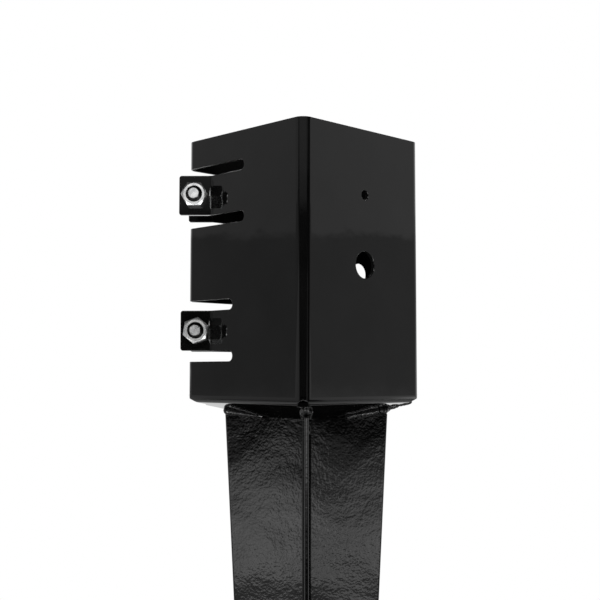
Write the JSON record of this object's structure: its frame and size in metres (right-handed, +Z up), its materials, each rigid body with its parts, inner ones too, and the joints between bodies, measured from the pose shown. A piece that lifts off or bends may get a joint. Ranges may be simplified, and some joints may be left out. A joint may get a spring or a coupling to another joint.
{
  "type": "post anchor spike",
  "caption": "Drive-in ground spike for a square timber post: folded sheet-steel socket with a bolt-clamped corner on a cross-shaped spike of two welded angles.",
  "frame": {"origin": "on the axis of the square socket, in the plane where the outer faces of its walls and of its bottom flaps meet", "axes": "+Z up along the post; the socket's walls face +X, -X, +Y and -Y; the clamp corner points to (-X, -Y) and the clamp bolts run along (+X, -Y), nuts on the (+X, -Y) side"},
  "size_m": [0.1107, 0.1118, 0.75],
  "materials": {
    "socket_paint": "smooth gloss black powder coat",
    "spike_paint": "gloss black paint with orange peel",
    "weld_paint": "gloss black paint over rough weld",
    "zinc": "bright zinc plate"
  },
  "bodies": {
    "anchor": {"socket": "socket_paint", "spike_angle_front": "spike_paint", "spike_angle_rear": "spike_paint", "weld_clamp_side_fin": "weld_paint", "weld_plain_side_fin": "weld_paint", "weld_front_fin": "weld_paint", "weld_rear_fin": "weld_paint", "groove_welds": "weld_paint", "seam_weld": "weld_paint"},
    "bolt_upper": {"upper_bolt": "zinc"},
    "nut_upper": {"upper_nut": "zinc"},
    "bolt_lower": {"lower_bolt": "zinc"},
    "nut_lower": {"lower_nut": "zinc"}
  },
  "joints": [
    {"name": "upper_bolt_turn", "type": "hinge", "parent": "anchor", "child": "bolt_upper", "pos_m": [-0.0434, -0.0434, 0.1165], "axis": [-0.7071, 0.7071, 0], "range_deg": [0, 2580]},
    {"name": "upper_nut_travel", "type": "slide", "parent": "anchor", "child": "nut_upper", "axis": [0.7071, -0.7071, 0], "range_m": [0, 0.009]},
    {"name": "lower_bolt_turn", "type": "hinge", "parent": "anchor", "child": "bolt_lower", "pos_m": [-0.04248, -0.04248, 0.0397], "axis": [-0.7071, 0.7071, 0], "range_deg": [0, 2580]},
    {"name": "lower_nut_travel", "type": "slide", "parent": "anchor", "child": "nut_lower", "axis": [0.7071, -0.7071, 0], "range_m": [0, 0.009]}
  ],
  "couplings": [
    {"joint": "upper_nut_travel", "follows": "upper_bolt_turn", "m_per_rad": 0.00019894},
    {"joint": "lower_nut_travel", "follows": "lower_bolt_turn", "m_per_rad": 0.00019894}
  ]
}
